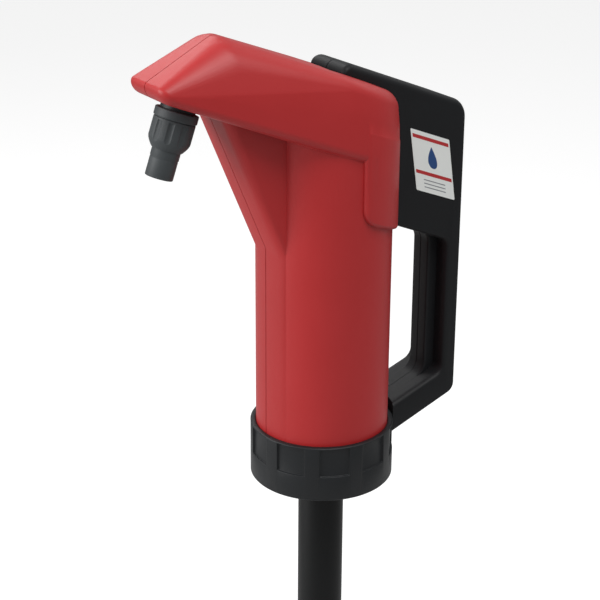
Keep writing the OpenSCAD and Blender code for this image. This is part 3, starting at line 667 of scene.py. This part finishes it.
nearLever = leverHalf("leverNear", -1)
farLever = leverHalf("leverFar", 1)
finishPiece(nearLever, "lever", leverBlack, ["lever_left"])
finishPiece(farLever, "lever", leverBlack, ["lever_right"])
print("stage: lever", len(nearLever.data.polygons), len(farLever.data.polygons))

# Label on the lever
# Sizes in mm; the bands and rules are low and high edges in half heights from the middle
label = {"middle": (77.3, 183.1), "width": 34.2, "height": 45.4, "lean": 7.1, "thick": 0.3, "corner": 0.9,
         "print": 0.03, "printWide": 0.93, "dropWide": 0.34, "dropTall": 0.36, "dropMiddle": 0.22,
         "bands": [(-0.42, -0.3), (0.74, 0.86)],
         "rules": [-0.84, -0.72, -0.6], "ruleWide": 0.6, "ruleTall": 0.035,
         "blue": (32, 66, 118), "red": (172, 42, 44), "grey": (128, 130, 134)}


# A spot on the leaning panel; u and v run from -1 to 1
def onLabel(u, v):
    d = label
    return (d["middle"][0] + (u * d["width"] - v * d["lean"]) / 2,
            d["middle"][1] + (v * d["height"] - u * d["width"] * slope) / 2)


def printInk(name, colour):
    return mouldedPlastic(name, colour, tuple(c + 6 for c in colour), 0.38, 600, 0.05, 0.4)


def dropOutline(t):
    d = label
    return (d["dropWide"] * math.sin(t) * (0.5 - 0.5 * math.cos(t)) ** 0.6,
            d["dropMiddle"] + d["dropTall"] * math.cos(t))


def addLabel():
    d = label
    back = -lever["half"]
    face = back - d["thick"]
    film = addSheet("labelFilm", [onLabel(u, v) for u, v in ((-1, -1), (1, -1), (1, 1), (-1, 1))], face, back)
    bevelEdges(film, lambda a, b: abs(a.y - b.y) > 0.1 * mm, d["corner"], 4)
    finishPiece(film, "lever", labelFilm, ["lever_label"])
    inks = {"blue": [[dropOutline(math.tau * i / 48) for i in range(48)]],
            "red": [[(-1, low), (1, low), (1, high), (-1, high)] for low, high in d["bands"]],
            "grey": [[(-d["ruleWide"], low), (d["ruleWide"], low), (d["ruleWide"], low + d["ruleTall"]),
                      (-d["ruleWide"], low + d["ruleTall"])] for low in d["rules"]]}
    for ink, shapes in inks.items():
        outlines = [[onLabel(d["printWide"] * u, v) for u, v in shape] for shape in shapes]
        pieces = [addSheet("labelPrint", outline, face - d["print"], face) for outline in outlines]
        ending = ink.capitalize()
        printed = joinPieces(pieces, "labelPrint" + ending)
        finishPiece(printed, "lever", printInk("ink" + ending, d[ink]))


addLabel()
print("stage: label")

# Collar nut
collarEdge = 0.45
collar = nodeCopy("collar_nut", "collar")
softenEdges(collar, collarEdge, 40)
finishPiece(collar, "pump", collarBlack, ["collar_nut"])
print("stage: collar", len(collar.data.polygons))

# Suction tube, its telescope and the bung adapter
# Body, finish and width of the softened edges in mm
lower = {"suction_tube": ("pump", tubeBlack, 0.5), "telescope_nut": ("pump", collarBlack, 0.6),
         "telescope_tube": ("telescope", tubeBlack, 0.4), "strainer": ("telescope", collarBlack, 0.5),
         "bung_adapter": ("adapter", collarBlack, 0.5), "adapter_nut": ("adapter", collarBlack, 0.6)}
for node, (body, material, edge) in lower.items():
    piece = nodeCopy(node, node.replace("_", "") + "Dressed")
    softenEdges(piece, edge, 40)
    finishPiece(piece, body, material, [node])
print("stage: lower parts", len(lower))

# Nozzle
# Sizes in mm, along the nozzle from its seat in the hood; shoulder is inset and distance before the nut's end
nozzle = {"seat": (-111.6, 248.95), "lean": 19.5, "ringStart": 4.7, "ringEnd": 10.4, "ringRadius": 14.4,
          "nutRadius": 13.9, "nutEnd": 30.6, "nutBore": 9.55, "seatDepth": 18.5,
          "shoulder": [(0, 7.2), (0.15, 6.2), (0.55, 5), (1.2, 3.7), (2, 2.4), (2.9, 1.1), (3.6, 0.3),
                       (3.9, 0)],
          "neckRadius": 11.6, "neckTop": 15.5,
          "flutes": 10, "fluteRadius": 3.4, "fluteDeep": 0.85, "fluteLong": 46, "nutEdge": 0.3,
          "tailRadius": 9.3, "tailStep": 36.2, "tailEnd": 49.2, "bore": 7}


def nozzlePlace():
    x, z = nozzle["seat"]
    lean = math.radians(180 + nozzle["lean"])
    return Matrix.Translation(at(x, 0, z)) @ Matrix.Rotation(lean, 4, "Y")


def nozzleNut():
    n = nozzle
    r, ring, start, end = n["nutRadius"], n["ringRadius"], n["ringStart"], n["ringEnd"]
    inner = n["neckRadius"] + 0.05
    outline = [(inner, start), (ring - 0.5, start), (ring, start + 0.5), (ring, end - 0.35),
               (ring - 0.35, end), (r - 0.7, end), (r - 0.7, end + 0.45), (r - 0.25, end + 0.5), (r, end + 0.9)]
    outline += [(r - inset, n["nutEnd"] - before) for inset, before in n["shoulder"]]
    outline += [(n["nutBore"], n["nutEnd"]), (n["nutBore"], n["seatDepth"]), (inner, n["seatDepth"])]
    nut = addTurned("nozzleNut", outline, 120, Matrix.Identity(4))
    cutters = []
    for i in range(n["flutes"]):
        turn = math.tau * (i + 0.5) / n["flutes"]
        away = (r + n["fluteRadius"] - n["fluteDeep"]) * mm
        clearSelection()
        spot = Vector((math.cos(turn) * away, math.sin(turn) * away, (end + 25) * mm))
        bpy.ops.mesh.primitive_cylinder_add(vertices=40, radius=n["fluteRadius"] * mm,
                                            depth=n["fluteLong"] * mm, location=spot)
        cutters.append(named("flute"))
    combine(nut, joinPieces(cutters, "flutes"))
    softenEdges(nut, n["nutEdge"], 30)
    nut.data.transform(nozzlePlace())
    return nut


def nozzleTail():
    n = nozzle
    r, neck, step, end, bore = n["tailRadius"], n["neckRadius"], n["tailStep"], n["tailEnd"], n["bore"]
    seat = n["seatDepth"] - 0.05
    outline = [(bore, n["neckTop"]), (neck, n["neckTop"]), (neck, seat), (r + 0.2, seat),
               (r + 0.2, step - 0.5), (r - 0.15, step), (r - 0.15, step + 0.35), (r, step + 0.5),
               (r, end - 0.6), (r - 0.2, end - 0.2), (r - 0.6, end), (bore + 0.5, end), (bore, end - 0.5)]
    return addTurned("nozzleTail", outline, 96, nozzlePlace())


finishPiece(nozzleNut(), "pump", spoutBlack, ["nozzle_nut"])
finishPiece(nozzleTail(), "pump", spoutBlack, ["nozzle_tail"])
print("stage: nozzle")

# Camera, floor and light
# Angles in degrees, lens, sensor and distance in mm; offset over focal is how far the rim lies off the axis
cameraView = {"azimuth": -33.414, "elevation": 21.707, "roll": 0.34, "lens": 97.914, "sensor": 36,
              "distance": 1182.2, "offset": (21.607, 116.879), "focal": 1631.9}


def addCamera():
    v = cameraView
    a = math.radians(v["azimuth"])
    e = math.radians(v["elevation"])
    roll = math.radians(v["roll"])
    back = Vector((math.sin(a) * math.cos(e), -math.cos(a) * math.cos(e), math.sin(e)))
    right = Vector((math.cos(a), math.sin(a), 0))
    level = back.cross(right)
    sideways = right * math.cos(roll) + level * math.sin(roll)
    upwards = level * math.cos(roll) - right * math.sin(roll)
    distance = v["distance"] * mm
    aside, below = (part / v["focal"] * distance for part in v["offset"])
    place = at(0, 0, 0) + back * distance - sideways * aside + upwards * below
    turn = Matrix((sideways, upwards, back)).transposed().to_4x4()
    camera = bpy.data.objects.new("camera", bpy.data.cameras.new("camera"))
    camera.data.lens = v["lens"]
    camera.data.sensor_width = v["sensor"]
    camera.matrix_world = Matrix.Translation(place) @ turn
    bpy.context.collection.objects.link(camera)
    bpy.context.scene.camera = camera
    return back, right


back, right = addCamera()


aim = at(0, 0, 100)
front = Vector((back.x, back.y, 0)).normalized()


def addLamp(name, place, size, power):
    lamp = bpy.data.lights.new(name, "AREA")
    lamp.shape = "DISK"
    lamp.size = size
    lamp.energy = power
    holder = bpy.data.objects.new(name, lamp)
    holder.location = place
    holder.rotation_euler = (place - aim).to_track_quat("Z", "Y").to_euler()
    bpy.context.collection.objects.link(holder)


# Each lamp: turn from the camera's side, height angle, size and distance in m, power
studio = {"keyLamp": (-74, 17, 1.8, 2.3, 43), "topLamp": (30, 62, 1.4, 2.3, 33),
          "backLamp": (-150, 40, 1.4, 2.3, 13), "rimLamp": (130, 40, 1.4, 2.3, 5)}
for name, (turn, height, size, away, power) in studio.items():
    turn, height = math.radians(turn), math.radians(height)
    toward = (front * math.cos(turn) + right * math.sin(turn)) * math.cos(height) + up * math.sin(height)
    addLamp(name, aim + toward * away, size, power)

stage = {"floorSize": 60, "floorTone": 0.45, "floorRoughness": 0.9, "floorGloss": 0.1, "floorGlow": 0.66,
         "skyLevel": 0.46}
clearSelection()
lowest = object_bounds()[0][2]
bpy.ops.mesh.primitive_plane_add(size=stage["floorSize"], location=(0, 0, lowest))
floor = named("floor")


# Pale, with a glow that only the camera sees, so that shadows stay
def floorMaterial():
    material = bpy.data.materials.new("paleFloor")
    material.use_nodes = True
    nodes = material.node_tree.nodes
    links = material.node_tree.links
    shader = nodes["Principled BSDF"]
    tone = stage["floorTone"]
    shader.inputs["Base Color"].default_value = (tone, tone, tone, 1)
    shader.inputs["Roughness"].default_value = stage["floorRoughness"]
    shader.inputs["Specular IOR Level"].default_value = stage["floorGloss"]
    glow = nodes.new("ShaderNodeEmission")
    path = nodes.new("ShaderNodeLightPath")
    amount = nodes.new("ShaderNodeMath")
    amount.operation = "MULTIPLY"
    amount.inputs[1].default_value = stage["floorGlow"]
    links.new(path.outputs["Is Camera Ray"], amount.inputs[0])
    links.new(amount.outputs[0], glow.inputs["Strength"])
    both = nodes.new("ShaderNodeAddShader")
    links.new(shader.outputs[0], both.inputs[0])
    links.new(glow.outputs[0], both.inputs[1])
    links.new(both.outputs[0], nodes["Material Output"].inputs["Surface"])
    return material


floor.data.materials.append(floorMaterial())


# White to the camera and a soft even sky to the object
def studioWorld():
    world = bpy.data.worlds.new("studio")
    bpy.context.scene.world = world
    world.use_nodes = True
    nodes = world.node_tree.nodes
    links = world.node_tree.links
    shade = nodes["Background"]
    shade.inputs["Color"].default_value = (1, 1, 1, 1)
    path = nodes.new("ShaderNodeLightPath")
    level = nodes.new("ShaderNodeMath")
    level.operation = "MAXIMUM"
    level.inputs[1].default_value = stage["skyLevel"]
    links.new(path.outputs["Is Camera Ray"], level.inputs[0])
    links.new(level.outputs[0], shade.inputs["Strength"])


studioWorld()
bpy.context.scene.view_settings.view_transform = "Standard"
print("stage: camera and light set")
